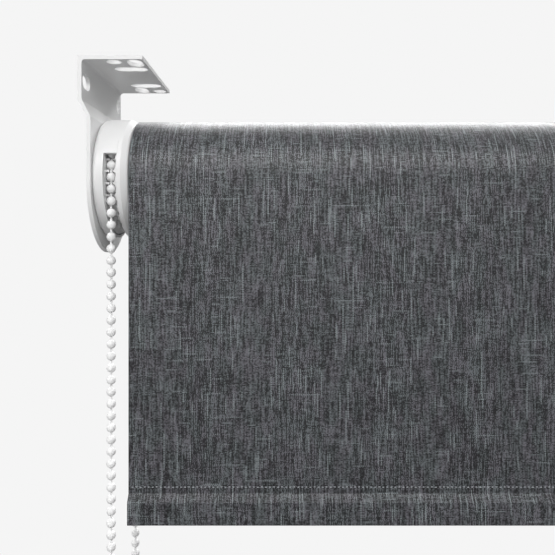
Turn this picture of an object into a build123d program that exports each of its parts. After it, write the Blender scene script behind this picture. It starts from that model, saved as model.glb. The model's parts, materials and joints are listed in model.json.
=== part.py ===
"""Chain-operated roller blind, hung from two pressed-steel end brackets. All sizes in millimetres.

+Z is up, +X runs along the roller from the chain end to the idle end, and the room side faces -Y.
The origin is the centre of the ceiling screw pattern, on the top face of the two bracket flanges.
"""

import os
from math import cos, degrees, pi, radians, sin, tan

from build123d import *

# Cloth and roller
cloth_width = 600.0
cloth_thick = 0.5
roll_radius = 30.0
tube_radius = 25.0
tube_wall = 1.5
key_height = 1.4
key_width = 3.0
strip_width = 15.0
strip_thick = 0.2

# Brackets, folded from one thickness of sheet
sheet = 2.0
bend_radius = 1.7
bracket_depth = 74.0
flange_reach = 30.0
joggle = 4.4
joggle_top_z = -21.6
joggle_bottom_z = -30.0
end_centre_z = -61.3
hole_width = 7.5
screw_slot_length = 17.2
screw_slot_y = 18.0
screw_slot_reach = 19.9
round_hole_y = 31.8
round_hole_shift = 5.3
cross_slot_y = 29.4
cross_slot_shift = 5.0
cross_slot_length = 12.4
side_hole_z = -11.7
side_slot_y = -29.4
side_slot_length = 12.0
side_round_y = 31.0

# Roller axis, and the gaps between the cloth's edges and the brackets
axis_y = -4.5
axis_z = -58.4
chain_gap = 18.3
idle_gap = 11.0
cloth_left = -(cloth_width - (chain_gap - idle_gap)) / 2
cloth_right = cloth_left + cloth_width
chain_plate_x = cloth_left - chain_gap
idle_plate_x = cloth_right + idle_gap

# Bead chain and the wheel that it runs over
bead_pitch = 6.0
bead_radius = 2.3
link_radius = 0.55
wheel_beads = 27
chain_offset = 8.4
pocket_angle = 360 / wheel_beads
chain_radius = bead_pitch / (2 * sin(radians(pocket_angle / 2)))
front_bead_drop = 1.0
rear_bead_drop = 2.0
chain_x = chain_plate_x + chain_offset
front_y = axis_y - chain_radius
rear_y = axis_y + chain_radius

# Chain guard
guard_radius = 31.8
guard_wall = 1.5
guard_start = 0.0
guard_end = 17.7
window_start = 5.7
window_end = 12.3
window_rise_angle = 19.5

# Clutch
core_radius = 9.0
core_length = 60.0
running_fit = 0.05
loose_fit = 0.1

# Hem, with its wedge-topped bar
cloth_gap = 0.3
hem_stitch_z = -213.1
hem_slope_z = -216.2
hem_crease_z = -219.7
hem_bottom_z = -231.2
hem_thick = 6.3
hem_top_z = -211.1
bar_clearance = 0.1
bar_wall = 1.0
bar_end_inset = 2.0
cloth_y = axis_y - roll_radius - cloth_gap - cloth_thick / 2


def chain_side(distance):
    """Plane square to the roller, centred on its axis, this far inboard of the chain bracket."""
    return Plane(origin=(chain_plate_x + distance, axis_y, axis_z), x_dir=(0, 1, 0), z_dir=(1, 0, 0))


def idle_side(distance):
    """The same on the idle bracket, with the plane's normal towards the roller."""
    return Plane(origin=(idle_plate_x - distance, axis_y, axis_z), x_dir=(0, 1, 0), z_dir=(-1, 0, 0))


def disc(plane, radius, length, mode=Mode.ADD):
    """Adds or removes a round disc that starts on the plane and grows along its normal."""
    with BuildSketch(plane) as outline:
        Circle(radius)
    extrude(outline.sketch, amount=length, mode=mode)


def keys(plane, inner, outer, width, length, count, mode=Mode.ADD):
    """Straight keys along the roller, spaced evenly round the axis from one radius to another."""
    with BuildSketch(plane) as outline:
        with PolarLocations((inner + outer) / 2, count):
            Rectangle(outer - inner, width)
    extrude(outline.sketch, amount=length, mode=mode)


def sector(radius, start_angle, end_angle):
    """Wedge of a disc in the current sketch, to cut or keep part of a ring."""
    with BuildLine() as outline:
        arc = CenterArc((0, 0), radius, start_angle, end_angle - start_angle)
        Line((0, 0), arc @ 0)
        Line(arc @ 1, (0, 0))
    make_face(outline.edges())


def finish(built, name):
    """Names a finished piece and writes its STEP file."""
    built.part.label = name
    export_step(built.part, f"parts/{name}.step")


os.makedirs("parts", exist_ok=True)


# ---- End brackets: a ceiling flange folded from a joggled side plate with a round end ----


def bracket(built, plate_x, inward):
    """Builds one bracket in the given part; inward is +1 where the roller lies towards +X."""
    upper_x = plate_x - inward * joggle
    edge_x = upper_x + inward * flange_reach
    outline = [
        (edge_x, 0),
        (edge_x, -sheet),
        (upper_x, -sheet),
        (upper_x, joggle_top_z),
        (plate_x, joggle_bottom_z),
        (plate_x, end_centre_z - bracket_depth),
        (plate_x - inward * sheet, end_centre_z - bracket_depth),
        (plate_x - inward * sheet, joggle_bottom_z),
        (upper_x - inward * sheet, joggle_top_z),
        (upper_x - inward * sheet, 0),
    ]
    with BuildSketch(Plane.XZ) as section:
        with BuildLine():
            Polyline(*outline, close=True)
        make_face()
        inside = section.vertices().sort_by_distance((upper_x, -sheet, 0))[0]
        outside = section.vertices().sort_by_distance((upper_x - inward * sheet, 0, 0))[0]
        fillet(inside, bend_radius)
        fillet(outside, bend_radius + sheet)
    extrude(section.sketch, amount=bracket_depth / 2, both=True)

    with BuildSketch(Plane.YZ) as side_view:
        with Locations((0, end_centre_z / 2)):
            Rectangle(bracket_depth, -end_centre_z)
        with Locations((0, end_centre_z)):
            Circle(bracket_depth / 2)
    extrude(side_view.sketch, amount=2 * abs(plate_x), both=True, mode=Mode.INTERSECT)

    slot_x = upper_x + inward * screw_slot_reach
    with BuildSketch(Plane.XY) as flange_holes:
        for turn in (1, -1):
            with Locations((slot_x, -turn * screw_slot_y)):
                SlotOverall(screw_slot_length, hole_width)
            with Locations((slot_x - inward * turn * round_hole_shift, -turn * round_hole_y)):
                Circle(hole_width / 2)
            with Locations((slot_x + inward * turn * cross_slot_shift, -turn * cross_slot_y)):
                SlotOverall(cross_slot_length, hole_width, rotation=90)
    extrude(flange_holes.sketch, amount=-2 * sheet, mode=Mode.SUBTRACT)

    with BuildSketch(Plane.YZ.offset(upper_x)) as plate_holes:
        with Locations((side_slot_y, side_hole_z)):
            SlotOverall(side_slot_length, hole_width)
        with Locations((side_round_y, side_hole_z)):
            Circle(hole_width / 2)
    extrude(plate_holes.sketch, amount=2 * sheet, both=True, mode=Mode.SUBTRACT)


rivet_circle = 14.0
rivet_radius = 2.0
rivet_count = 3

with BuildPart() as control_bracket:
    bracket(control_bracket, chain_plate_x, 1)
    with BuildSketch(chain_side(0)) as rivet_holes:
        with PolarLocations(rivet_circle, rivet_count, start_angle=90):
            Circle(rivet_radius + loose_fit)
    extrude(rivet_holes.sketch, amount=-2 * sheet, mode=Mode.SUBTRACT)
finish(control_bracket, "control_bracket")

bush_radius = 6.0

with BuildPart() as idle_bracket:
    bracket(idle_bracket, idle_plate_x, -1)
    disc(idle_side(0), bush_radius + running_fit, -2 * sheet, Mode.SUBTRACT)
finish(idle_bracket, "idle_bracket")


# ---- Clutch core: a base riveted to the bracket, and a spindle that reaches into the tube ----

core_base_radius = 19.0
core_base_thick = 3.0
screw_bore_radius = 2.2
screw_bore_depth = 26.0
spindle_chamfer = 0.6

with BuildPart() as clutch_core:
    disc(chain_side(0), core_base_radius, core_base_thick)
    disc(chain_side(core_base_thick), core_radius, core_length - core_base_thick)
    chamfer(clutch_core.faces().sort_by(Axis.X)[-1].edges(), spindle_chamfer)
    disc(chain_side(core_length), screw_bore_radius, -screw_bore_depth, Mode.SUBTRACT)
    with BuildSketch(chain_side(0)) as rivet_bores:
        with PolarLocations(rivet_circle, rivet_count, start_angle=90):
            Circle(rivet_radius)
    extrude(rivet_bores.sketch, amount=core_base_thick, mode=Mode.SUBTRACT)
finish(clutch_core, "clutch_core")

rivet_head_radius = 3.6
rivet_head_thick = 1.2
rivet_head_round = 0.8

with BuildPart() as core_rivets:
    with BuildSketch(chain_side(core_base_thick)) as shanks:
        with PolarLocations(rivet_circle, rivet_count, start_angle=90):
            Circle(rivet_radius)
    extrude(shanks.sketch, amount=-(core_base_thick + sheet))
    with BuildSketch(chain_side(-sheet)) as heads:
        with PolarLocations(rivet_circle, rivet_count, start_angle=90):
            Circle(rivet_head_radius)
    extrude(heads.sketch, amount=-rivet_head_thick)
    fillet(core_rivets.faces().group_by(Axis.X)[0].edges(), rivet_head_round)
finish(core_rivets, "core_rivets")


# ---- Chain guard: a cup over the wheel, with a window that runs round below the top ----

guard_back_thick = 1.6
guard_round = 2.6
guard_chamfer = 1.8
guard_chamfer_depth = 3.4
guard_chamfer_round = 1.5
lip_radius = 25.4
pad_height = 0.25
pad_top_angle = 33.0

with BuildPart() as chain_guard:
    disc(chain_side(guard_start), guard_radius, guard_end - guard_start)
    rims = chain_guard.edges().filter_by(GeomType.CIRCLE).sort_by(Axis.X)
    fillet(rims[0], guard_round)
    roller_rim = chain_guard.edges().filter_by(GeomType.CIRCLE).sort_by(Axis.X)[-1]
    chamfer(roller_rim, guard_chamfer_depth, guard_chamfer)
    roller_rim = chain_guard.edges().filter_by(GeomType.CIRCLE).sort_by(Axis.X)[-1]
    fillet(roller_rim, guard_chamfer_round)
    inner_radius = guard_radius - guard_wall
    cup_depth = guard_end - guard_start - 2 * guard_back_thick
    disc(chain_side(guard_start + guard_back_thick), inner_radius, cup_depth, Mode.SUBTRACT)
    circles = chain_guard.edges().filter_by(GeomType.CIRCLE)
    cup_rims = circles.filter_by(lambda rim: abs(rim.radius - inner_radius) < 0.01)
    chamfer(cup_rims.sort_by(Axis.X)[-1], guard_chamfer_depth, guard_chamfer)
    disc(chain_side(guard_start), core_base_radius + loose_fit, guard_back_thick, Mode.SUBTRACT)
    disc(chain_side(guard_end), lip_radius, -2 * guard_back_thick, Mode.SUBTRACT)
    with BuildSketch(chain_side(window_start)) as pad:
        sector(guard_radius + pad_height, 180 - pad_top_angle, 180)
        Circle(inner_radius, mode=Mode.SUBTRACT)
    extrude(pad.sketch, amount=window_end - window_start)
    with BuildSketch(chain_side(window_start)) as window:
        sector(2 * guard_radius, 180 - window_rise_angle, 360 + window_rise_angle)
        Circle(lip_radius, mode=Mode.SUBTRACT)
    extrude(window.sketch, amount=window_end - window_start, mode=Mode.SUBTRACT)
finish(chain_guard, "chain_guard")


# ---- Chain wheel: pockets for the beads between two flanges, and a sleeve that works the springs ----

wheel_start = 4.2
groove_start = 5.8
groove_end = 11.0
wheel_end = 12.6
groove_radius = 23.2
flange_radius = 29.6
rib_root_radius = 22.7
rib_radius = 26.7
rib_thick = 1.1
link_slot = 1.8
notch_radius = 2.1
notch_outset = 0.6
sleeve_inner = 11.3
sleeve_outer = 13.2
sleeve_end = 52.0
sleeve_half_angle = 100.0
first_bead_angle = 180 - degrees((bead_pitch - front_bead_drop) / chain_radius)
first_rib_angle = first_bead_angle + pocket_angle / 2

with BuildPart() as chain_wheel:
    disc(chain_side(wheel_start), groove_radius, wheel_end - wheel_start)
    disc(chain_side(wheel_start), flange_radius, groove_start - wheel_start)
    disc(chain_side(groove_end), flange_radius, wheel_end - groove_end)
    rib_length = (groove_end - groove_start - link_slot) / 2
    for start in (groove_start, groove_end - rib_length):
        with BuildSketch(chain_side(start)) as ribs:
            with PolarLocations((rib_root_radius + rib_radius) / 2, wheel_beads, first_rib_angle):
                Rectangle(rib_radius - rib_root_radius, rib_thick)
        extrude(ribs.sketch, amount=rib_length)
    with BuildSketch(chain_side(groove_end)) as notches:
        with PolarLocations(flange_radius + notch_outset, wheel_beads, first_bead_angle):
            Circle(notch_radius)
    extrude(notches.sketch, amount=wheel_end - groove_end, mode=Mode.SUBTRACT)
    with BuildSketch(chain_side(wheel_end)) as sleeve:
        sector(sleeve_outer, -sleeve_half_angle, sleeve_half_angle)
        Circle(sleeve_inner, mode=Mode.SUBTRACT)
    extrude(sleeve.sketch, amount=sleeve_end - wheel_end)
    disc(chain_side(wheel_start), core_radius + running_fit, wheel_end - wheel_start, Mode.SUBTRACT)
finish(chain_wheel, "chain_wheel")


# ---- Wrap springs: they grip the core until the wheel's sleeve or the hub's key moves their ends ----

spring_wire = 1.5
spring_pitch = 1.7
spring_turns = 5
spring_starts = (16.0, 28.0, 40.0)
spring_clearance = 0.08
spring_middle = core_radius + spring_clearance + spring_wire / 2

with BuildPart() as wrap_springs:
    for start in spring_starts:
        foot = chain_side(start + spring_wire)
        with BuildLine() as coil:
            Helix(
                spring_pitch,
                spring_pitch * spring_turns,
                spring_middle,
                center=foot.origin,
                direction=foot.z_dir,
            )
        wire_end = coil.line @ 0
        with BuildSketch(Plane(origin=wire_end, x_dir=(1, 0, 0), z_dir=coil.line % 0)) as wire:
            Circle(spring_wire / 2)
        sweep(wire.sketch, path=coil.line, is_frenet=True)
finish(wrap_springs, "wrap_springs")


# ---- Drive hub, adapter and tube, which turn together ----

hub_start = 13.2
hub_end = 59.8
hub_web = 2.2
hub_inner = 13.4
hub_outer = 16.0
hub_key_outer = 18.0
hub_key_width = 3.0
hub_keys_start = 20.0
hub_key_count = 6
spring_key_start = 14.0
spring_key_half_angle = 68.0

with BuildPart() as drive_hub:
    disc(chain_side(hub_start), hub_outer, hub_end - hub_start)
    key_length = hub_end - hub_keys_start
    keys(chain_side(hub_keys_start), hub_outer - 1, hub_key_outer, hub_key_width, key_length, hub_key_count)
    disc(chain_side(hub_start), hub_inner, hub_end - hub_start - hub_web, Mode.SUBTRACT)
    with BuildSketch(chain_side(spring_key_start)) as spring_key:
        sector(hub_inner + 0.5, 180 - spring_key_half_angle, 180 + spring_key_half_angle)
        Circle(sleeve_inner, mode=Mode.SUBTRACT)
    extrude(spring_key.sketch, amount=hub_end - spring_key_start)
    disc(chain_side(hub_start), core_radius + running_fit, hub_end - hub_start, Mode.SUBTRACT)
finish(drive_hub, "drive_hub")

collar_start = 16.4
adapter_end = 58.0
collar_radius = 24.8
tube_bore = tube_radius - tube_wall
plug_radius = tube_bore - loose_fit
plug_chamfer = 1.0
tube_keys = 2
groove_count = 16
groove_depth = 0.9


def keyways(plane, length):
    """Grooves in the current plug that let the tube's two inner keys pass."""
    bottom = tube_bore - key_height - loose_fit
    keys(plane, bottom, tube_radius, key_width + 2 * loose_fit, length, tube_keys, Mode.SUBTRACT)


with BuildPart() as tube_adapter:
    adapter_length = adapter_end - chain_gap
    disc(chain_side(collar_start), collar_radius, chain_gap - collar_start)
    disc(chain_side(chain_gap), plug_radius, adapter_length)
    chamfer(tube_adapter.faces().sort_by(Axis.X)[-1].edges(), plug_chamfer)
    bore_start = chain_side(collar_start)
    bore_length = adapter_end - collar_start
    disc(bore_start, hub_outer + loose_fit, bore_length, Mode.SUBTRACT)
    slot_outer = hub_key_outer + loose_fit
    slot_width = hub_key_width + 2 * loose_fit
    keys(bore_start, hub_outer - 1, slot_outer, slot_width, bore_length, hub_key_count, Mode.SUBTRACT)
    keyways(chain_side(chain_gap), adapter_length)
    with BuildSketch(chain_side(chain_gap)) as grip_grooves:
        with PolarLocations(tube_bore, groove_count, start_angle=180 / groove_count):
            Circle(groove_depth)
    extrude(grip_grooves.sketch, amount=adapter_length, mode=Mode.SUBTRACT)
finish(tube_adapter, "tube_adapter")

with BuildPart() as roller_tube:
    disc(chain_side(chain_gap), tube_radius, cloth_width)
    disc(chain_side(chain_gap), tube_bore, cloth_width, Mode.SUBTRACT)
    keys(chain_side(chain_gap), tube_bore - key_height, tube_bore + 0.5, key_width, cloth_width, tube_keys)
finish(roller_tube, "roller_tube")

washer_radius = 12.5
washer_thick = 1.5
screw_head_radius = 4.5
screw_head_thick = 3.0
screw_head_round = 1.2
screw_length = 24.0
recess_span = 5.0
recess_width = 1.1
recess_depth = 1.6

with BuildPart() as hub_washer:
    disc(chain_side(core_length), washer_radius, washer_thick)
    disc(chain_side(core_length), screw_bore_radius + loose_fit, washer_thick, Mode.SUBTRACT)
finish(hub_washer, "hub_washer")

with BuildPart() as hub_screw:
    head_start = core_length + washer_thick
    disc(chain_side(head_start), screw_bore_radius, -screw_length)
    disc(chain_side(head_start), screw_head_radius, screw_head_thick)
    fillet(hub_screw.faces().sort_by(Axis.X)[-1].edges(), screw_head_round)
    with BuildSketch(chain_side(head_start + screw_head_thick)) as cross_recess:
        Rectangle(recess_span, recess_width)
        Rectangle(recess_width, recess_span)
    extrude(cross_recess.sketch, amount=-recess_depth, mode=Mode.SUBTRACT)
finish(hub_screw, "hub_screw")


# ---- Cloth on the roller: the adhesive strip that holds it, and its turns ----

strip_half_angle = degrees(strip_width / 2 / tube_radius)

with BuildPart() as adhesive_strip:
    with BuildSketch(chain_side(chain_gap)) as strip_section:
        sector(tube_radius + strip_thick, 90 - strip_half_angle, 90 + strip_half_angle)
        Circle(tube_radius, mode=Mode.SUBTRACT)
    extrude(strip_section.sketch, amount=cloth_width)
finish(adhesive_strip, "adhesive_strip")

with BuildPart() as fabric_roll:
    disc(chain_side(chain_gap), roll_radius, cloth_width)
    disc(chain_side(chain_gap), tube_radius + strip_thick, cloth_width, Mode.SUBTRACT)
finish(fabric_roll, "fabric_roll")


# ---- Idle end: a plug in the tube that turns on a pin, which springs out into the bracket ----

plug_flange_start = 8.6
plug_flange_radius = 25.2
plug_end = 55.0
lightening_circle = 14.5
lightening_radius = 4.0
lightening_count = 6
pin_radius = 4.0
pin_chamfer = 1.0
pin_hole_radius = pin_radius + running_fit
pin_relief = 0.4
pin_shoulder_radius = 6.0
pin_shoulder_start = 30.2
pin_shoulder_end = 33.2
pin_tail_end = 38.0
pin_tip = 3.5
chamber_start = 30.0
chamber_radius = 6.4
bearing_length = 11.4
bearing_rim_radius = 8.5
bearing_rim_thick = 1.2

with BuildPart() as idle_plug:
    flange_face = idle_side(plug_flange_start)
    disc(flange_face, plug_flange_radius, idle_gap - plug_flange_start)
    disc(idle_side(idle_gap), plug_radius, plug_end - idle_gap)
    chamfer(idle_plug.faces().sort_by(Axis.X)[0].edges(), plug_chamfer)
    disc(flange_face, pin_hole_radius + pin_relief, chamber_start - plug_flange_start, Mode.SUBTRACT)
    disc(idle_side(chamber_start), chamber_radius, plug_end - chamber_start, Mode.SUBTRACT)
    disc(flange_face, bush_radius, bearing_length, Mode.SUBTRACT)
    keyways(idle_side(idle_gap), plug_end - idle_gap)
    with BuildSketch(idle_side(idle_gap)) as lightening:
        with PolarLocations(lightening_circle, lightening_count, start_angle=180 / lightening_count):
            Circle(lightening_radius)
    extrude(lightening.sketch, amount=plug_end - idle_gap, mode=Mode.SUBTRACT)
finish(idle_plug, "idle_plug")

with BuildPart() as idle_bearing:
    rim_face = idle_side(plug_flange_start - bearing_rim_thick)
    disc(rim_face, bearing_rim_radius, bearing_rim_thick)
    disc(idle_side(plug_flange_start), bush_radius, bearing_length)
    disc(rim_face, pin_hole_radius, bearing_rim_thick + bearing_length, Mode.SUBTRACT)
finish(idle_bearing, "idle_bearing")

with BuildPart() as idle_pin:
    disc(idle_side(-pin_tip), pin_radius, pin_tail_end + pin_tip)
    chamfer(idle_pin.faces().sort_by(Axis.X)[-1].edges(), pin_chamfer)
    disc(idle_side(pin_shoulder_start), pin_shoulder_radius, pin_shoulder_end - pin_shoulder_start)
finish(idle_pin, "idle_pin")

seat_thick = 3.0
seat_rim = 2.0
seat_rim_thick = 1.5
seat_round = 0.6
pin_spring_end = plug_end - seat_thick
pin_wire = 0.8
pin_wire_gap = 0.3
pin_spring_turns = 6

with BuildPart() as pin_spring:
    coil_start = idle_side(pin_shoulder_end + pin_wire / 2)
    coil_height = pin_spring_end - pin_shoulder_end - pin_wire
    with BuildLine() as pin_coil:
        Helix(
            coil_height / pin_spring_turns,
            coil_height,
            pin_radius + pin_wire_gap + pin_wire / 2,
            center=coil_start.origin,
            direction=coil_start.z_dir,
        )
    wire_end = pin_coil.line @ 0
    with BuildSketch(Plane(origin=wire_end, x_dir=(1, 0, 0), z_dir=pin_coil.line % 0)) as wire:
        Circle(pin_wire / 2)
    sweep(wire.sketch, path=pin_coil.line, is_frenet=True)
finish(pin_spring, "pin_spring")

with BuildPart() as spring_seat:
    disc(idle_side(pin_spring_end), chamber_radius, seat_thick)
    disc(idle_side(plug_end), chamber_radius + seat_rim, seat_rim_thick)
    fillet(spring_seat.faces().sort_by(Axis.X)[0].edges(), seat_round)
finish(spring_seat, "spring_seat")

bush_outset = 0.6
bush_rim = 2.5
bush_rim_thick = 1.4

with BuildPart() as bracket_bush:
    bush_face = idle_side(-sheet - bush_outset)
    disc(bush_face, bush_radius, sheet + bush_outset)
    disc(idle_side(0), bush_radius + bush_rim, bush_rim_thick)
    disc(bush_face, pin_hole_radius, sheet + bush_outset + bush_rim_thick, Mode.SUBTRACT)
finish(bracket_bush, "bracket_bush")


# ---- Hanging cloth, and the hem with its bar ----


narrowest_top = 0.8
hem_corner_radius = 1.4
smallest_corner = 0.4


def wedge(inset):
    """Outline of the hem in the current sketch, drawn in from its outer face by the inset."""
    half = hem_thick / 2 - inset
    slope = (hem_thick - cloth_thick) / 2 / (hem_slope_z - hem_crease_z)
    top_half = max(cloth_thick / 2 - inset, narrowest_top / 2)
    top_z = hem_crease_z + (half - top_half) / slope
    with BuildLine() as outline:
        Polyline(
            (cloth_y - half, hem_bottom_z + inset),
            (cloth_y + half, hem_bottom_z + inset),
            (cloth_y + half, hem_crease_z),
            (cloth_y + top_half, top_z),
            (cloth_y - top_half, top_z),
            (cloth_y - half, hem_crease_z),
            close=True,
        )
    make_face(outline.edges())


def wedge_prism(left_x, length, inset, mode=Mode.ADD):
    """A length of the hem's section along the roller."""
    with BuildSketch(Plane.YZ.offset(left_x)) as section:
        wedge(inset)
        low_corners = section.vertices().group_by(Axis.Y)[0]
        fillet(low_corners, max(hem_corner_radius - inset / 2, smallest_corner))
    extrude(section.sketch, amount=length, mode=mode)


with BuildPart() as hanging_cloth:
    with BuildSketch(Plane.YZ.offset(cloth_left)) as panel:
        with Locations((cloth_y, (axis_z + hem_stitch_z) / 2)):
            Rectangle(cloth_thick, axis_z - hem_stitch_z)
    extrude(panel.sketch, amount=cloth_width)
finish(hanging_cloth, "hanging_cloth")

turned_edge_low_z = hem_slope_z - 0.4

with BuildPart() as hem_pocket:
    wedge_prism(cloth_left, cloth_width, 0)
    with BuildSketch(Plane.YZ.offset(cloth_left)) as sewn_layers:
        with Locations((cloth_y, (turned_edge_low_z + hem_stitch_z) / 2)):
            Rectangle(cloth_thick, hem_stitch_z - turned_edge_low_z)
    extrude(sewn_layers.sketch, amount=cloth_width)
    with BuildSketch(Plane.YZ.offset(cloth_left)) as turned_edge:
        with Locations((cloth_y + cloth_thick, (turned_edge_low_z + hem_top_z) / 2)):
            Rectangle(cloth_thick, hem_top_z - turned_edge_low_z)
    extrude(turned_edge.sketch, amount=cloth_width)
    wedge_prism(cloth_left, cloth_width, cloth_thick, Mode.SUBTRACT)
finish(hem_pocket, "hem_pocket")

bar_inset = cloth_thick + bar_clearance
bar_left = cloth_left + bar_end_inset
bar_length = cloth_width - 2 * bar_end_inset

with BuildPart() as hem_bar:
    wedge_prism(bar_left, bar_length, bar_inset)
    wedge_prism(bar_left, bar_length, bar_inset + bar_wall, Mode.SUBTRACT)
finish(hem_bar, "hem_bar")

plug_plate = 1.4
plug_insert = 12.0
plug_fit = 0.05

for side, name in ((0, "hem_plug_left"), (1, "hem_plug_right")):
    plate_left = bar_left - plug_plate + side * (bar_length + plug_plate)
    insert_left = bar_left + side * (bar_length - plug_insert)
    with BuildPart() as hem_plug:
        wedge_prism(plate_left, plug_plate, bar_inset)
        wedge_prism(insert_left, plug_insert, bar_inset + bar_wall + plug_fit)
    finish(hem_plug, name)


# ---- Bead chain: real beads over the wheel, plain round runs where it hangs, and its connector ----

# Each free run is a list of points (across, down): across from the middle of the loop towards the
# room, and down from the roller axis. The front run goes round the bottom and up to the connector.
front_route = [
    (25.84, 16.0),
    (25.84, 229.2),
    (24.28, 285.1),
    (21.20, 319.0),
    (16.36, 338.4),
    (6.81, 347.9),
    (-6.81, 347.9),
    (-16.36, 338.4),
    (-21.20, 319.0),
    (-24.28, 285.1),
    (-24.70, 270.0),
]
rear_route = [(-25.15, 254.0), (-25.84, 229.2), (-25.84, 17.0)]

loop_beads = 133
arc_beads = 13
straight_beads = 3
connector_radius = 3.2
connector_round = 0.8
connector_slot = 1.6
connector_slot_depth = 1.2


def chain_point(across, down):
    """Point in the plane of the chain; across is positive on the room side."""
    return Vector(chain_x, axis_y - across, axis_z - down)


def bead_places():
    """Centres of the beads over the wheel, and of the first ones that hang below it on both sides."""
    places = []
    for number in range(arc_beads):
        angle = radians(first_bead_angle - number * pocket_angle)
        places.append(chain_point(-chain_radius * cos(angle), -chain_radius * sin(angle)))
    for number in range(straight_beads):
        places.append(chain_point(chain_radius, front_bead_drop + number * bead_pitch))
        places.append(chain_point(-chain_radius, rear_bead_drop + number * bead_pitch))
    return places


with BuildPart() as chain_on_wheel:
    with BuildSketch(Plane.XY.move(Location(chain_point(-chain_radius, 0)))) as link_section:
        Circle(link_radius)
    with BuildLine(chain_side(chain_offset)) as over_wheel:
        CenterArc((0, 0), chain_radius, 0, 180)
    sweep(link_section.sketch, path=over_wheel.line)
    for across, down in (front_route[0], rear_route[-1]):
        with BuildSketch(Plane(origin=chain_point(across, 0), z_dir=(0, 0, -1))) as link_end:
            Circle(link_radius)
        extrude(link_end.sketch, amount=down)
    with Locations(bead_places()):
        Sphere(bead_radius)
finish(chain_on_wheel, "chain_on_wheel")


def corner_radii(points):
    """Arc radius for each inner point of a route: 0.45 of its shorter run over the half turn's tangent."""
    radii = []
    for before, corner, after in zip(points, points[1:], points[2:]):
        shorter = min((corner - before).length, (after - corner).length)
        half_turn = radians((corner - before).get_angle(after - corner)) / 2
        radii.append(0.45 * shorter / tan(half_turn))
    return radii


def chain_run(route, name):
    """Round run of chain along a route, with tangent arcs at its corners. Returns its length."""
    points = [chain_point(across, down) for across, down in route]
    radii = corner_radii(points)
    print(name, "radii", [round(radius, 1) for radius in radii])
    with BuildPart() as run:
        with BuildLine() as path:
            FilletPolyline(*points, radius=radii)
        with BuildSketch(Plane(origin=path.line @ 0, z_dir=path.line % 0)):
            Circle(bead_radius)
        sweep(path=path.line)
    length = sum(edge.length for edge in path.edges())
    solid_share = run.part.volume / (pi * bead_radius**2 * length)
    print(name, "length", round(length, 2), "volume over section times length", round(solid_share, 4))
    finish(run, name)
    return length


front_length = chain_run(front_route, "bead_chain_front")
rear_length = chain_run(rear_route, "bead_chain_rear")

connector_low = chain_point(*front_route[-1])
connector_high = chain_point(*rear_route[0])
connector_length = (connector_high - connector_low).length

with BuildPart() as chain_connector:
    connector_foot = Plane(origin=connector_low, x_dir=(1, 0, 0), z_dir=connector_high - connector_low)
    disc(connector_foot, connector_radius, connector_length)
    fillet(chain_connector.edges().filter_by(GeomType.CIRCLE), connector_round)
    with BuildSketch(connector_foot) as bead_slot:
        with Locations((0, connector_radius)):
            Rectangle(connector_slot, 2 * connector_slot_depth)
    extrude(bead_slot.sketch, amount=connector_length, mode=Mode.SUBTRACT)
finish(chain_connector, "chain_connector")

hung_length = front_length + connector_length + rear_length
straight_length = front_route[0][1] - front_bead_drop + rear_route[-1][1] - rear_bead_drop
arc_length = (arc_beads + 1) * bead_pitch
print("chain loop", round(hung_length + straight_length + arc_length, 2))
print("its beads at their pitch", loop_beads * bead_pitch)
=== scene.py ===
"""Looks of a chain-operated roller blind with a linen-look cloth, around its CAD model. In metres.

+Z is up, +X runs along the roller from the chain end, and the room side faces -Y.
"""

import json
import math

import bmesh
import bpy
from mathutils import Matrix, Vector
from mathutils.noise import noise


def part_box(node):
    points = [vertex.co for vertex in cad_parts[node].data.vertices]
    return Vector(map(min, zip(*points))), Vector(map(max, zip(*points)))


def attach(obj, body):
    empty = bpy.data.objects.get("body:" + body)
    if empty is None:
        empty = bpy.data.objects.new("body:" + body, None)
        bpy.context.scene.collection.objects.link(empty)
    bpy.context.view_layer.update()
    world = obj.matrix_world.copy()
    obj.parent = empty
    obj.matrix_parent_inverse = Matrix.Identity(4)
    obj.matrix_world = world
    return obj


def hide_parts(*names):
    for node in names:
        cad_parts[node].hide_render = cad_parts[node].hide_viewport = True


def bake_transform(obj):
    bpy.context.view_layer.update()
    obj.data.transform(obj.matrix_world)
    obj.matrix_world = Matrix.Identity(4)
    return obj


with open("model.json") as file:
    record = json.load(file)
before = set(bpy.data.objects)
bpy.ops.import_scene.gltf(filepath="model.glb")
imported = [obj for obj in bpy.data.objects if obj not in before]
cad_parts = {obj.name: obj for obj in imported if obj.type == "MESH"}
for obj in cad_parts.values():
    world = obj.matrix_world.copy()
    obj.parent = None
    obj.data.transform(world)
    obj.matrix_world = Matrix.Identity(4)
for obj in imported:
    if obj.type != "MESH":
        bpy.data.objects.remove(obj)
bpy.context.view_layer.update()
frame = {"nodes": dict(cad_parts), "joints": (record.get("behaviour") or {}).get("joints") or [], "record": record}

mm = 0.001
nodes = frame["nodes"]
axis = Vector(next(joint for joint in frame["joints"] if joint["name"] == "roller_spin")["pos_m"])
roll_low, roll_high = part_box("fabric_roll")
panel_low, panel_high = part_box("hanging_cloth")
pocket_low, pocket_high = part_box("hem_pocket")
wheel_chain_low, wheel_chain_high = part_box("chain_on_wheel")

roll_radius = (roll_high.z - roll_low.z) / 2
cloth_left = roll_low.x
cloth_right = roll_high.x
cloth_y = (panel_low.y + panel_high.y) / 2
cloth_thick = panel_high.y - panel_low.y


# ---- Camera ----

camera_place = Vector((-0.22265, -0.332, -0.086))
sensor_width = 36.0
focal_length = 38.919
shift_down = 0.0856

camera = bpy.data.objects.new("camera", bpy.data.cameras.new("camera"))
camera.location = camera_place
camera.rotation_euler = (math.radians(90), 0, 0)
camera.data.sensor_width = sensor_width
camera.data.lens = focal_length
camera.data.shift_y = -shift_down
camera.data.clip_start = 0.01
bpy.context.scene.collection.objects.link(camera)
bpy.context.scene.camera = camera
bpy.context.scene.view_settings.view_transform = "Standard"


# ---- Mesh helpers ----


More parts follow.
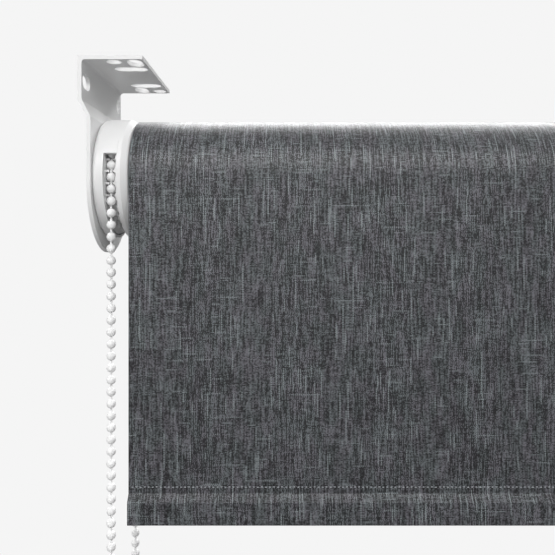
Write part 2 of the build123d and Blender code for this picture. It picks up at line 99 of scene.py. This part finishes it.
def mesh_piece(name, points, faces, smooth=True):
    """New mesh object from points and faces, with its normals facing out."""
    data = bpy.data.meshes.new(name)
    data.from_pydata(points, [], faces)
    shaped = bmesh.new()
    shaped.from_mesh(data)
    bmesh.ops.recalc_face_normals(shaped, faces=shaped.faces)
    for face in shaped.faces:
        face.smooth = smooth
    shaped.to_mesh(data)
    shaped.free()
    piece = bpy.data.objects.new(name, data)
    bpy.context.scene.collection.objects.link(piece)
    return piece


def sharpen(piece, angle):
    """Keeps the edges that turn by more than this many degrees crisp under smooth shading."""
    shaped = bmesh.new()
    shaped.from_mesh(piece.data)
    limit = math.radians(angle)
    for edge in shaped.edges:
        if len(edge.link_faces) == 2 and edge.calc_face_angle(0) > limit:
            edge.smooth = False
    shaped.to_mesh(piece.data)
    shaped.free()


def tube_faces(rings, sides, first=0):
    """Faces of a skin over rings of points, with both ends closed."""
    faces = [tuple(first + side for side in range(sides))]
    for ring in range(rings - 1):
        for side in range(sides):
            step = (side + 1) % sides
            low = first + ring * sides
            faces.append((low + side, low + step, low + sides + step, low + sides + side))
    last = first + (rings - 1) * sides
    faces.append(tuple(last + side for side in range(sides)))
    return faces


# ---- Bead chain ----

bead_pitch = 6.0 * mm
bead_radius = 2.3 * mm
bead_half_length = 2.25 * mm
link_radius = 0.55 * mm
free_beads = 114
wheel_beads = 19
bead_sides = 18
chain_x = (wheel_chain_low.x + wheel_chain_high.x) / 2

# Points (across, down) from the middle of the loop and the roller axis, from the front of the
# wheel round to the rear. One more point on each long straight side keeps it straight.
route = [
    (25.84, 16.0),
    (25.84, 173.2),
    (25.84, 229.2),
    (24.28, 285.1),
    (21.20, 319.0),
    (16.36, 338.4),
    (6.81, 347.9),
    (-6.81, 347.9),
    (-16.36, 338.4),
    (-21.20, 319.0),
    (-24.28, 285.1),
    (-24.70, 270.0),
    (-25.15, 254.0),
    (-25.84, 229.2),
    (-25.84, 173.2),
    (-25.84, 17.0),
]


def chain_point(across, down):
    """Point in the plane of the chain, from millimetres across and down."""
    return Vector((chain_x, axis.y - across * mm, axis.z - down * mm))


def spline_points(control):
    """Points along the smooth line that has these control points."""
    curve = bpy.data.curves.new("chain_line", "CURVE")
    curve.dimensions = "3D"
    curve.resolution_u = 24
    spline = curve.splines.new("NURBS")
    spline.points.add(len(control) - 1)
    for point, place in zip(spline.points, control):
        point.co = (*place, 1)
    spline.order_u = 3
    spline.use_endpoint_u = True
    holder = bpy.data.objects.new("chain_line", curve)
    bpy.context.scene.collection.objects.link(holder)
    line = bpy.data.meshes.new_from_object(holder)
    points = [vertex.co.copy() for vertex in line.vertices]
    bpy.data.objects.remove(holder)
    bpy.data.curves.remove(curve)
    bpy.data.meshes.remove(line)
    return points


def line_length(points):
    return sum((after - before).length for before, after in zip(points, points[1:]))


def places_along(points, distances):
    """Points and directions at rising distances along a line of points."""
    found = []
    run = 0
    passed = 0.0
    for distance in distances:
        step = points[run + 1] - points[run]
        while distance > passed + step.length and run < len(points) - 2:
            passed += step.length
            run += 1
            step = points[run + 1] - points[run]
        found.append((points[run] + step.normalized() * (distance - passed), step.normalized()))
    return found


def bead_profile():
    """Half-lengths and radii along one bead, slightly barrel-shaped, down to its cord."""
    profile = []
    for angle in range(-78, 79, 13):
        turn = math.radians(angle)
        radius = bead_radius * math.cos(turn) ** 0.92
        profile.append((bead_half_length * math.sin(turn), radius))
    start = profile[0][0] - 0.12 * mm
    return [(start, link_radius), *profile, (-start, link_radius)]


def bead_string(name, points, beads, first):
    """Beads at an even pitch on their cord, as one skin. The cord's ends reach first past them."""
    length = line_length(points)
    pitch = (length - 2 * first) / (beads - 1)
    stations = [(0.0, link_radius)]
    for bead in range(beads):
        for offset, radius in bead_profile():
            stations.append((first + bead * pitch + offset, radius))
    stations.append((length, link_radius))
    skin = []
    placed = places_along(points, [distance for distance, _ in stations])
    for (centre, direction), (_, radius) in zip(placed, stations):
        sideways = Vector((1, 0, 0))
        outward = direction.cross(sideways)
        for side in range(bead_sides):
            turn = 2 * math.pi * side / bead_sides
            skin.append(centre + radius * (math.cos(turn) * sideways + math.sin(turn) * outward))
    return mesh_piece(name, skin, tube_faces(len(stations), bead_sides))


def wheel_line():
    """Line of the chain from the front of the wheel over its top to the rear, at the beads' centres."""
    radius = (wheel_chain_high.y - wheel_chain_low.y) / 2 - bead_radius
    line = [chain_point(*route[0])]
    for step in range(181):
        turn = math.radians(180 - step)
        y = axis.y + radius * math.cos(turn)
        z = axis.z + radius * math.sin(turn)
        line.append(Vector((chain_x, y, z)))
    line.append(chain_point(*route[-1]))
    return line


hanging_line = spline_points([chain_point(across, down) for across, down in route])
bead_chain = bead_string("bead_chain", hanging_line, free_beads, bead_pitch / 2)
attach(bead_chain, "brackets")
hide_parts("bead_chain_front", "bead_chain_rear")

wheel_chain = bead_string("bead_chain_over_wheel", wheel_line(), wheel_beads, bead_pitch / 2)
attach(wheel_chain, "brackets")
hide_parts("chain_on_wheel")


# ---- Cloth ----

wound_depth = 4.8 * mm
turn_thick = 0.46 * mm
turn_pitch = 0.5 * mm
steps_per_turn = 96
panel_grid = 60
wrap_end = math.radians(352)
wrap_end_radius = roll_radius + 0.21 * mm


def around(angle, radius):
    """Y and Z at an angle from the front of the roll, over its top."""
    return axis.y - radius * math.cos(angle), axis.z + radius * math.sin(angle)


def strip(name, middle, normals, columns):
    """Cloth of full thickness over a line of (y, z) points, across the blind, with closed edges."""
    sides = []
    for share in (1, -1):
        sides.append([(y + share * ny, z + share * nz) for (y, z), (ny, nz) in zip(middle, normals)])
    outline = sides[0] + sides[1][::-1]
    points = []
    for column in range(columns + 1):
        x = cloth_left + (cloth_right - cloth_left) * column / columns
        points.extend((x, y, z) for y, z in outline)
    size = len(outline)
    half = len(middle)
    faces = []
    for column in range(columns):
        for side in range(size):
            step = (side + 1) % size
            low = column * size
            faces.append((low + side, low + step, low + size + step, low + size + side))
    for low in (0, columns * size):
        for side in range(half - 1):
            other = size - 1 - side
            faces.append((low + side, low + side + 1, low + other - 1, low + other))
    piece = mesh_piece(name, points, faces)
    sharpen(piece, 50)
    return piece


def wound_cloth():
    """Turns of cloth on the tube, as one long spiral strip."""
    inner = roll_radius - wound_depth
    steps = int(wound_depth / turn_pitch * steps_per_turn)
    middle = []
    normals = []
    for step in range(steps + 1):
        angle = -2 * math.pi * step / steps_per_turn
        radius = roll_radius - turn_thick / 2 - turn_pitch * step / steps_per_turn
        if radius - turn_thick / 2 < inner:
            break
        middle.append(around(-angle, radius))
        normals.append((-math.cos(angle) * turn_thick / 2, -math.sin(angle) * turn_thick / 2))
    return strip("cloth_roll", middle, normals, 1)


def last_turn():
    """Last turn of the cloth, over the roll and down to the axis height at its front."""
    half = cloth_thick / 2
    start_radius = axis.y - cloth_y
    middle = []
    normals = []
    for step in range(steps_per_turn, -1, -1):
        share = step / steps_per_turn
        angle = wrap_end * share
        radius = start_radius + (wrap_end_radius - start_radius) * share
        middle.append(around(angle, radius))
        normals.append((-math.cos(angle) * half, math.sin(angle) * half))
    return strip("cloth_last_turn", middle, normals, panel_grid)


def hanging_panel():
    """Panel that hangs from the front of the roll to the hem."""
    drop = axis.z - panel_low.z
    middle = [(cloth_y, axis.z - drop * row / panel_grid) for row in range(panel_grid + 1)]
    normals = [(-cloth_thick / 2, 0.0)] * (panel_grid + 1)
    return strip("cloth_panel", middle, normals, panel_grid)


cloth_roll = wound_cloth()
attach(cloth_roll, "roller")
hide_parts("fabric_roll")

cloth_last_turn = last_turn()
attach(cloth_last_turn, "brackets")

cloth_panel = hanging_panel()
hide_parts("hanging_cloth")
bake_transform(cloth_panel)


# ---- Hem pocket ----

slope_start = panel_low.z - 3.1 * mm
crease_z = panel_low.z - 6.6 * mm
turned_edge_low = slope_start - 0.3 * mm
hem_corner = 1.0 * mm
slope_bend = 1.2
stitch_pitch = 2.0 * mm
pucker = 0.05 * mm
ripple = 0.06 * mm
layer_gap = 0.02 * mm


def hem_outline(inset):
    """Half of the pocket's section from the stitch line to its bottom, as (half thickness, z)."""
    half = (pocket_high.y - pocket_low.y) / 2
    bottom = pocket_low.z + inset
    top = cloth_thick / 2
    outline = []
    for step in range(6):
        share = step / 6
        out = top + 0.03 * mm * math.sin(math.pi * share)
        outline.append((out, panel_low.z + (slope_start - panel_low.z) * share))
    for step in range(9):
        share = step / 9
        out = top + (half - top) * share**slope_bend
        outline.append((out, slope_start + (crease_z - slope_start) * share))
    outline.append((half - 0.03 * mm, crease_z + 0.12 * mm))
    outline.append((half, crease_z - 0.12 * mm))
    for step in range(1, 5):
        outline.append((half, crease_z + (bottom + hem_corner - crease_z) * step / 5))
    corner = hem_corner - inset / 2
    for step in range(7):
        turn = math.radians(15 * step)
        out = half - corner + corner * math.cos(turn)
        outline.append((out, bottom + corner - corner * math.sin(turn)))
    return [(max(out - inset, layer_gap), z) for out, z in outline]


def hem_section(inset):
    """Whole loop of the pocket's section, front then back, as (y, z)."""
    half = hem_outline(inset)
    front = [(cloth_y - out, z) for out, z in half]
    back = [(cloth_y + out, z) for out, z in reversed(half)]
    return front + back


def hem_pocket():
    """Sewn pocket round the hem bar, puckered between its stitches."""
    outer = hem_section(0.0)
    inner = hem_section(cloth_thick)
    columns = round((cloth_right - cloth_left) / (stitch_pitch / 2))
    size = len(outer)
    points = []
    for column in range(columns + 1):
        x = cloth_left + (cloth_right - cloth_left) * column / columns
        swell = pucker if column % 2 else 0.0
        for y, z in outer + inner:
            drop = panel_low.z - z
            fade = math.exp(-((drop - 1.6 * mm) / (1.3 * mm)) ** 2)
            wave = ripple * noise(Vector((x * 60, z * 90, 3.0))) * min(1, drop / (3 * mm))
            outward = -1 if y < cloth_y else 1
            points.append((x, y + outward * (swell * fade + wave), z))
    faces = []
    for column in range(columns):
        for loop in (0, 1):
            low = (2 * column + loop) * size
            high = low + 2 * size
            for side in range(size):
                step = (side + 1) % size
                faces.append((low + side, low + step, high + step, high + side))
    for low in (0, 2 * columns * size):
        for side in range(size):
            step = (side + 1) % size
            faces.append((low + side, low + step, low + size + step, low + size + side))
    return mesh_piece("hem_cloth", points, faces)


hem_cloth = hem_pocket()
sharpen(hem_cloth, 50)
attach(hem_cloth, "hem")
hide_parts("hem_pocket")


def turned_edge():
    """Raw edge of the cloth, turned up behind the panel and caught by the stitches."""
    half = cloth_thick / 2
    y = panel_high.y + half
    top = pocket_high.z
    rows = 4
    middle = [(y, turned_edge_low + (top - turned_edge_low) * row / rows) for row in range(rows + 1)]
    return strip("hem_turned_edge", middle, [(half, 0.0)] * (rows + 1), panel_grid)


hem_turned_edge = turned_edge()
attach(hem_turned_edge, "hem")


def stitches():
    """Row of thread stitches through the hem, seen on both faces."""
    thread = 0.24 * mm
    stitch_length = stitch_pitch / 2
    sides = 8
    rings = 7
    points = []
    faces = []
    count = int((cloth_right - cloth_left) / stitch_pitch) - 1
    for face_y, outward in ((panel_low.y, -1), (panel_high.y + cloth_thick, 1)):
        for number in range(count):
            start = cloth_left + stitch_pitch * (number + 1)
            first = len(points)
            for ring in range(rings):
                share = ring / (rings - 1)
                x = start + (share - 0.5) * stitch_length
                bow = math.sin(math.pi * share) ** 0.5
                y = face_y + outward * (bow * 0.22 - 0.12) * mm
                z = panel_low.z + 0.07 * mm * math.sin(number * 2.4)
                radius = thread * (0.55 + 0.45 * math.sin(math.pi * share))
                for side in range(sides):
                    turn = 2 * math.pi * side / sides
                    points.append((x, y + radius * math.cos(turn), z + radius * math.sin(turn)))
            faces.extend(tube_faces(rings, sides, first))
    return mesh_piece("hem_stitches", points, faces)


hem_stitches = stitches()
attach(hem_stitches, "hem")


# ---- Materials ----


class Shader:
    """A material on one Principled shader, with short calls for the nodes that feed it."""

    def __init__(self, name):
        self.material = bpy.data.materials.new(name)
        self.material.use_nodes = True
        self.tree = self.material.node_tree
        self.principled = self.tree.nodes["Principled BSDF"]

    def put(self, socket, value):
        """Links an output to a socket, or sets the socket to a constant."""
        if isinstance(value, bpy.types.NodeSocket):
            self.tree.links.new(value, socket)
        else:
            socket.default_value = value

    def set(self, name, value):
        self.put(self.principled.inputs[name], value)

    def place(self):
        """X, Y and Z on the piece, in millimetres."""
        coordinates = self.tree.nodes.new("ShaderNodeTexCoord")
        scaled = self.tree.nodes.new("ShaderNodeVectorMath")
        scaled.operation = "SCALE"
        scaled.inputs["Scale"].default_value = 1 / mm
        self.tree.links.new(coordinates.outputs["Object"], scaled.inputs[0])
        split = self.tree.nodes.new("ShaderNodeSeparateXYZ")
        self.tree.links.new(scaled.outputs[0], split.inputs[0])
        return split.outputs[0], split.outputs[1], split.outputs[2]

    def cloud(self, size, detail=2.0, roughness=0.5):
        """Noise in space, whose lumps are this many millimetres across along X, Y and Z."""
        places = [self.math("DIVIDE", value, lump) for value, lump in zip(self.place(), size)]
        return self.noise(*places, detail, roughness)

    def math(self, operation, first, second=0.0):
        made = self.tree.nodes.new("ShaderNodeMath")
        made.operation = operation
        self.put(made.inputs[0], first)
        self.put(made.inputs[1], second)
        return made.outputs[0]

    def vector(self, x, y, z=0.0):
        made = self.tree.nodes.new("ShaderNodeCombineXYZ")
        for socket, value in zip(made.inputs, (x, y, z)):
            self.put(socket, value)
        return made.outputs[0]

    def noise(self, x, y, z=0.0, detail=2.0, roughness=0.5):
        """Noise of about 0.5, whose lumps are about one unit of x, y and z across."""
        made = self.tree.nodes.new("ShaderNodeTexNoise")
        made.inputs["Scale"].default_value = 1.0
        made.inputs["Detail"].default_value = detail
        made.inputs["Roughness"].default_value = roughness
        self.put(made.inputs["Vector"], self.vector(x, y, z))
        return made.outputs["Fac"]

    def chance(self, x, y=0.0):
        """A random number from 0 to 1 for each pair of whole numbers."""
        made = self.tree.nodes.new("ShaderNodeTexWhiteNoise")
        made.noise_dimensions = "3D"
        self.put(made.inputs["Vector"], self.vector(x, y, 0.5))
        return made.outputs["Value"]

    def ramp(self, value, low, high, to_low=0.0, to_high=1.0):
        made = self.tree.nodes.new("ShaderNodeMapRange")
        made.interpolation_type = "SMOOTHSTEP"
        ends = {"From Min": low, "From Max": high, "To Min": to_low, "To Max": to_high}
        for end, number in ends.items():
            made.inputs[end].default_value = number
        self.put(made.inputs["Value"], value)
        return made.outputs["Result"]

    def mix(self, share, first, second):
        made = self.tree.nodes.new("ShaderNodeMix")
        made.data_type = "RGBA"
        self.put(made.inputs["Factor"], share)
        self.put(made.inputs[6], first)
        self.put(made.inputs[7], second)
        return made.outputs[2]

    def blend_number(self, share, first, second):
        """First where the share is 0, second where it is 1."""
        change = self.math("MULTIPLY", share, self.math("SUBTRACT", second, first))
        return self.math("ADD", first, change)

    def bump(self, height, distance, strength=1.0):
        made = self.tree.nodes.new("ShaderNodeBump")
        made.inputs["Strength"].default_value = strength
        made.inputs["Distance"].default_value = distance
        self.put(made.inputs["Height"], height)
        self.put(self.principled.inputs["Normal"], made.outputs[0])


warp_pitch = 0.50
weft_pitch = 0.56


def length_along(cloth, y, z, hangs):
    """Length in mm along the cloth, round the roll and, where it hangs, straight down."""
    forward = cloth.math("SUBTRACT", axis.y / mm, y)
    up = cloth.math("SUBTRACT", z, axis.z / mm)
    angle = cloth.math("ARCTAN2", up, forward)
    angle = cloth.math("FLOORED_MODULO", angle, 2 * math.pi)
    along = cloth.math("ADD", cloth.math("MULTIPLY", angle, roll_radius / mm), axis.z / mm)
    if hangs:
        below = cloth.math("LESS_THAN", up, 0.0)
        ahead = cloth.math("GREATER_THAN", forward, roll_radius / mm + 0.22)
        hanging = cloth.math("MULTIPLY", below, ahead)
        straight = cloth.math("ADD", z, cloth.math("SUBTRACT", y, cloth_y / mm))
        difference = cloth.math("SUBTRACT", straight, along)
        along = cloth.math("ADD", along, cloth.math("MULTIPLY", hanging, difference))
    return along


def cloth_material(name, hangs):
    """Charcoal linen-look weave with pale slubs. It follows the cloth round the roll and down."""
    cloth = Shader(name)
    x, y, z = cloth.place()
    along = length_along(cloth, y, z, hangs)
    warp_place = cloth.math("DIVIDE", x, warp_pitch)
    weft_place = cloth.math("DIVIDE", along, weft_pitch)
    warp = cloth.math("FLOOR", warp_place)
    weft = cloth.math("FLOOR", weft_place)
    warp_seed = cloth.math("MULTIPLY", cloth.chance(warp, 3.5), 500.0)
    weft_seed = cloth.math("MULTIPLY", cloth.chance(weft, 8.5), 500.0)
    over = cloth.math("FLOORED_MODULO", cloth.math("ADD", warp, weft), 2.0)

    def yarn(seed, place, length, low, high, detail=1.0):
        """Share of slub or tone that changes slowly along each yarn, in lengths of so many mm."""
        change = cloth.noise(seed, cloth.math("DIVIDE", place, length), 0.0, detail)
        return cloth.ramp(change, low, high)

    def crossing(on_warp, on_weft):
        """What shows of two values where the warp and the weft pass over each other in turn."""
        return cloth.blend_number(over, on_weft, on_warp)

    warp_tone = yarn(warp_seed, along, 14.0, 0.38, 0.62)
    weft_tone = yarn(weft_seed, x, 8.0, 0.38, 0.62)
    tone = crossing(warp_tone, cloth.blend_number(0.45, weft_tone, warp_tone))
    fleck = cloth.ramp(cloth.chance(warp, weft), 0.2, 0.8)
    grain = cloth.math("ADD", cloth.math("MULTIPLY", tone, 0.58), cloth.math("MULTIPLY", fleck, 0.42))
    grain = cloth.ramp(grain, 0.14, 1.04)
    patch = cloth.noise(cloth.math("DIVIDE", x, 12.0), cloth.math("DIVIDE", along, 18.0), 79.0, 2.0)
    tint = cloth.noise(cloth.math("DIVIDE", x, 6.0), cloth.math("DIVIDE", along, 16.0), 97.0, 1.0)
    hue = cloth.ramp(tint, 0.35, 0.65)
    dark = cloth.mix(hue, (0.0015, 0.0008, 0.0025, 1), (0.0005, 0.0015, 0.0020, 1))
    light = cloth.mix(hue, (0.164, 0.162, 0.182, 1), (0.152, 0.168, 0.178, 1))
    shade = cloth.math("MULTIPLY", grain, cloth.ramp(patch, 0.3, 0.7, 0.85, 1.0))
    colour = cloth.mix(shade, dark, light)
    warp_slub = yarn(warp_seed, cloth.math("ADD", along, 900.0), 30.0, 0.63, 0.66, 2.0)
    weft_slub = yarn(weft_seed, cloth.math("ADD", x, 900.0), 22.0, 0.65, 0.69, 2.0)
    slub = crossing(cloth.math("MULTIPLY", warp_slub, 0.85), cloth.math("MULTIPLY", weft_slub, 0.6))
    under = crossing(cloth.math("MULTIPLY", weft_slub, 0.15), cloth.math("MULTIPLY", warp_slub, 0.30))
    slub = cloth.math("MAXIMUM", slub, under)
    colour = cloth.mix(slub, colour, (0.27, 0.305, 0.315, 1))
    cloth.set("Base Color", colour)
    cloth.set("Roughness", cloth.ramp(grain, 0.0, 1.0, 0.46, 0.38))
    cloth.set("Specular IOR Level", 0.5)
    cloth.set("Sheen Weight", 0.8)
    cloth.set("Sheen Roughness", 0.35)
    warp_round = cloth.math("SINE", cloth.math("MULTIPLY", cloth.math("FRACT", warp_place), math.pi))
    weft_round = cloth.math("SINE", cloth.math("MULTIPLY", cloth.math("FRACT", weft_place), math.pi))
    height = cloth.math("ADD", crossing(warp_round, weft_round), cloth.math("MULTIPLY", slub, 0.7))
    cloth.bump(height, 0.05 * mm, 0.6)
    return cloth.material


def powder_coat():
    """White powder-coated steel with a fine orange peel."""
    paint = Shader("powder_coat")
    peel = paint.cloud((0.7, 0.7, 0.7))
    cloud = paint.cloud((14, 14, 14), 3.0)
    paint.set("Base Color", paint.mix(cloud, (0.79, 0.79, 0.79, 1), (0.84, 0.84, 0.84, 1)))
    paint.set("Roughness", paint.ramp(cloud, 0.3, 0.7, 0.36, 0.46))
    paint.bump(peel, 0.03 * mm, 0.5)
    return paint.material


def moulded(name, colour, roughness, texture_mm, texture_depth):
    """Moulded plastic: a fine mould texture and soft changes of gloss."""
    plastic = Shader(name)
    flow = plastic.cloud((9, 9, 9), 3.0)
    darker = tuple(0.965 * part for part in colour)
    plastic.set("Base Color", plastic.mix(flow, (*colour, 1), (*darker, 1)))
    plastic.set("Roughness", plastic.ramp(flow, 0.3, 0.7, roughness - 0.05, roughness + 0.07))
    plastic.bump(plastic.cloud([texture_mm] * 3), texture_depth, 0.4)
    return plastic.material


def bead_plastic():
    """Milky white plastic that the light goes a little way into."""
    plastic = Shader("bead_plastic")
    flow = plastic.cloud((9, 9, 9), 3.0)
    plastic.set("Base Color", plastic.mix(flow, (0.90, 0.90, 0.90, 1), (0.86, 0.86, 0.86, 1)))
    plastic.set("Roughness", plastic.ramp(flow, 0.3, 0.7, 0.42, 0.54))
    plastic.set("Subsurface Weight", 0.7)
    plastic.set("Subsurface Radius", (1.0, 1.0, 1.0))
    plastic.set("Subsurface Scale", 2.5 * mm)
    return plastic.material


def metal(name, colour, roughness, grain_mm):
    """Bare metal with fine lines, whose grain is this many millimetres along X, Y and Z."""
    bare = Shader(name)
    lines = bare.cloud(grain_mm, 3.0, 0.6)
    darker = tuple(0.86 * part for part in colour)
    bare.set("Base Color", bare.mix(lines, (*colour, 1), (*darker, 1)))
    bare.set("Metallic", 1.0)
    bare.set("Roughness", bare.ramp(lines, 0.3, 0.7, roughness - 0.06, roughness + 0.1))
    bare.bump(lines, 0.02 * mm, 0.4)
    return bare.material


def thread_material():
    """Light grey sewing thread with its twist, with painted shade in the grooves of the twist."""
    thread = Shader("thread")
    x, y, z = thread.place()
    twist = thread.math("ADD", thread.math("MULTIPLY", x, 14.0), thread.math("MULTIPLY", z, 9.0))
    twist_relief_and_groove_shade = thread.math("SINE", twist)
    # Painted shade: the colour is darker where the twist relief is low, standing in for shade in its grooves.
    shade = thread.ramp(twist_relief_and_groove_shade, -1, 1)
    thread.set("Base Color", thread.mix(shade, (0.28, 0.30, 0.32, 1), (0.50, 0.52, 0.54, 1)))
    thread.set("Roughness", 0.6)
    thread.set("Sheen Weight", 0.2)
    thread.bump(twist_relief_and_groove_shade, 0.03 * mm, 0.8)
    return thread.material


def wear(objects, material):
    for piece in objects:
        piece.data.materials.clear()
        piece.data.materials.append(material)


hung_cloth = cloth_material("hung_cloth", True)
wear([cloth_last_turn, cloth_panel, hem_cloth, hem_turned_edge], hung_cloth)
wear([cloth_roll], cloth_material("wound_cloth", False))
wear([hem_stitches], thread_material())
wear([bead_chain, wheel_chain, nodes["chain_connector"]], bead_plastic())

looks = {
    "bracket_steel": powder_coat(),
    "white_plastic": moulded("white_plastic", (0.82, 0.82, 0.82), 0.38, 0.35, 0.02 * mm),
    "clutch_plastic": moulded("clutch_plastic", (0.66, 0.66, 0.63), 0.52, 0.3, 0.03 * mm),
    "zinc_steel": metal("zinc_plate", (0.62, 0.63, 0.66), 0.3, (0.6, 0.6, 0.6)),
    "spring_steel": metal("spring_wire", (0.46, 0.46, 0.48), 0.28, (0.3, 2.0, 2.0)),
    "aluminium": metal("mill_aluminium", (0.74, 0.75, 0.77), 0.36, (40.0, 0.25, 0.25)),
    "hem_plug_plastic": moulded("plug_plastic", (0.36, 0.36, 0.37), 0.5, 0.3, 0.03 * mm),
    "adhesive": moulded("tape", (0.70, 0.69, 0.64), 0.6, 0.8, 0.04 * mm),
}
for part in frame["record"]["subparts"]:
    look = looks.get(part["material_slot"])
    if look:
        wear([nodes[part["node"]]], look)


# ---- Studio ----

paper_light = 0.913
room_light = 0.21


def when_seen(tree):
    """1 for what the camera sees itself, and 0 for the light that reaches the blind."""
    return tree.nodes.new("ShaderNodeLightPath").outputs["Is Camera Ray"]


def stage_material():
    """Pale matt paper that looks evenly lit, whatever light it throws back."""
    paper = Shader("stage_paper")
    seen = when_seen(paper.tree)
    paper.set("Base Color", paper.mix(seen, (0.58, 0.58, 0.58, 1), (0.0, 0.0, 0.0, 1)))
    paper.set("Roughness", 1.0)
    paper.set("Specular IOR Level", 0.0)
    paper.set("Emission Color", (1, 1, 1, 1))
    paper.set("Emission Strength", paper.math("MULTIPLY", seen, paper_light))
    return paper.material


def backdrop():
    """Floor that curves up into a wall behind the blind."""
    width = 14.0
    floor_z = -1.78
    wall_y = 4.6
    bend = 1.0
    profile = [(y, floor_z) for y in (-5.0, -2.0, 0.0, 2.0, wall_y - bend)]
    for step in range(1, 13):
        turn = math.radians(7.5 * step)
        profile.append((wall_y - bend + bend * math.sin(turn), floor_z + bend - bend * math.cos(turn)))
    profile.append((wall_y, 5.0))
    points = [(x, y, z) for y, z in profile for x in (-width / 2, width / 2)]
    faces = [(2 * row, 2 * row + 1, 2 * row + 3, 2 * row + 2) for row in range(len(profile) - 1)]
    sweep = mesh_piece("backdrop", points, faces)
    wear([sweep], stage_material())


def area_light(name, place, target, size, radiance):
    """Soft lamp of an even brightness, where 1 is white."""
    light = bpy.data.lights.new(name, "AREA")
    light.shape = "RECTANGLE"
    light.size, light.size_y = size
    light.energy = radiance * math.pi * size[0] * size[1]
    lamp = bpy.data.objects.new(name, light)
    lamp.location = place
    lamp.rotation_euler = (Vector(target) - Vector(place)).to_track_quat("-Z", "Y").to_euler()
    bpy.context.scene.collection.objects.link(lamp)


def soft_room():
    """Even light from all round, as pale as the paper to look at."""
    world = bpy.data.worlds.new("soft_room")
    world.use_nodes = True
    tree = world.node_tree
    strength = tree.nodes.new("ShaderNodeMapRange")
    strength.inputs["To Min"].default_value = room_light
    strength.inputs["To Max"].default_value = paper_light
    tree.links.new(when_seen(tree), strength.inputs["Value"])
    background = tree.nodes["Background"]
    background.inputs["Color"].default_value = (1, 1, 1, 1)
    tree.links.new(strength.outputs["Result"], background.inputs["Strength"])
    bpy.context.scene.world = world


backdrop()
soft_room()
area_light("key_light", (-0.1, -1.35, 0.85), (0, 0, -0.12), (1.7, 0.5), 7.6)
area_light("fill_light", (-0.22, -1.7, -0.1), (-0.1, 0, -0.12), (1.2, 0.9), 0.7)
area_light("left_light", (-1.5, -0.9, 0.2), (-0.2, 0, -0.12), (0.8, 0.8), 3.2)
area_light("rim_light", (0.0, 1.0, 0.85), (0, 0, -0.04), (2.4, 0.55), 8.0)
area_light("top_light", (0.0, 0.1, 1.4), (0, 0, -0.04), (2.0, 0.6), 1.2)
